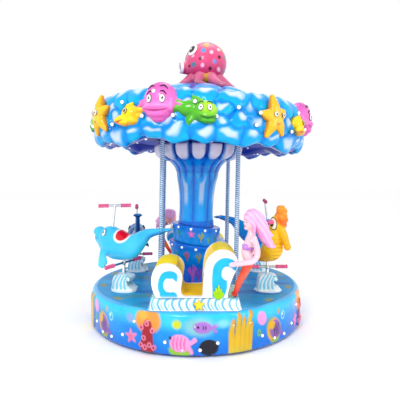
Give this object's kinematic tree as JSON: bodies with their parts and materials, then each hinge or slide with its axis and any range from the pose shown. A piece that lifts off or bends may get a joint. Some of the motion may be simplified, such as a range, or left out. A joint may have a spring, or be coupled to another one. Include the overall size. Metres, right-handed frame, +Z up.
{
  "type": "sea-themed children's carousel",
  "caption": "Small fairground carousel with a cloud canopy, an octopus on top, animals on posts and boats on a round turning drum.",
  "frame": {"origin": "centre of the fixed base disc's underside, on the floor and on the spin axis", "axes": "+Z up along the spin axis; -Y towards the front boat; +X to the right seen from the front"},
  "size_m": [2.1534, 2.1534, 2.6978],
  "materials": {
    "frame_steel": "satin dark paint",
    "chrome": "polished",
    "drum_blue": "gloss painted fibreglass",
    "deck_blue": "brushed gloss paint",
    "column_blue": "gloss painted fibreglass",
    "cloud_blue": "airbrushed gloss fibreglass",
    "underside_blue": "gloss paint",
    "octopus_pink": "gloss painted fibreglass",
    "dolphin_blue": "gloss painted fibreglass",
    "seahorse_yellow": "gloss painted fibreglass",
    "wave_white": "gloss painted fibreglass",
    "boat_white": "gloss painted fibreglass",
    "bench_yellow": "gloss painted fibreglass",
    "mermaid_pink": "gloss painted fibreglass"
  },
  "bodies": {
    "ground": {"ground_base": "frame_steel", "centre_spindle": "frame_steel"},
    "turntable": {"turntable_hub": "frame_steel", "platform_deck": "deck_blue", "drum_skirt": "drum_blue", "column_bowls": "column_blue", "column_shaft": "column_blue", "column_capital": "column_blue", "canopy_pole_1": "chrome", "canopy_pole_2": "chrome", "canopy_pole_3": "chrome", "canopy_pole_4": "chrome", "canopy_underside": "underside_blue", "canopy_roof": "cloud_blue", "canopy_panel_1": "cloud_blue", "canopy_panel_2": "cloud_blue", "canopy_panel_3": "cloud_blue", "canopy_panel_4": "cloud_blue", "octopus_head": "octopus_pink", "octopus_legs": "octopus_pink", "front_dolphin_wave_base": "wave_white", "rear_left_dolphin_wave_base": "wave_white", "rear_right_dolphin_wave_base": "wave_white", "seahorse_wave_base": "wave_white", "front_boat_hull": "boat_white", "front_boat_bench": "bench_yellow", "front_boat_wave_skirt": "wave_white", "front_mermaid": "mermaid_pink", "rear_boat_hull": "boat_white", "rear_boat_bench": "bench_yellow", "rear_boat_wave_skirt": "wave_white", "rear_mermaid": "mermaid_pink"},
    "front_dolphin_ride": {"front_dolphin": "dolphin_blue", "front_dolphin_post": "chrome", "front_dolphin_handle": "chrome"},
    "rear_left_dolphin_ride": {"rear_left_dolphin": "dolphin_blue", "rear_left_dolphin_post": "chrome", "rear_left_dolphin_handle": "chrome"},
    "rear_right_dolphin_ride": {"rear_right_dolphin": "dolphin_blue", "rear_right_dolphin_post": "chrome", "rear_right_dolphin_handle": "chrome"},
    "seahorse_ride": {"seahorse": "seahorse_yellow", "seahorse_post": "chrome", "seahorse_handle": "chrome"}
  },
  "joints": [
    {"name": "turntable_spin", "type": "hinge", "parent": "ground", "child": "turntable", "pos_m": [0, 0, 0.2], "axis": [0, 0, 1], "continuous": true},
    {"name": "front_dolphin_bob", "type": "slide", "parent": "turntable", "child": "front_dolphin_ride", "axis": [0, 0, 1], "range_m": [-0.035, 0.045]},
    {"name": "rear_left_dolphin_bob", "type": "slide", "parent": "turntable", "child": "rear_left_dolphin_ride", "axis": [0, 0, 1], "range_m": [-0.01, 0.07]},
    {"name": "rear_right_dolphin_bob", "type": "slide", "parent": "turntable", "child": "rear_right_dolphin_ride", "axis": [0, 0, 1], "range_m": [-0.035, 0.045]},
    {"name": "seahorse_bob", "type": "slide", "parent": "turntable", "child": "seahorse_ride", "axis": [0, 0, 1], "range_m": [-0.035, 0.045]}
  ]
}
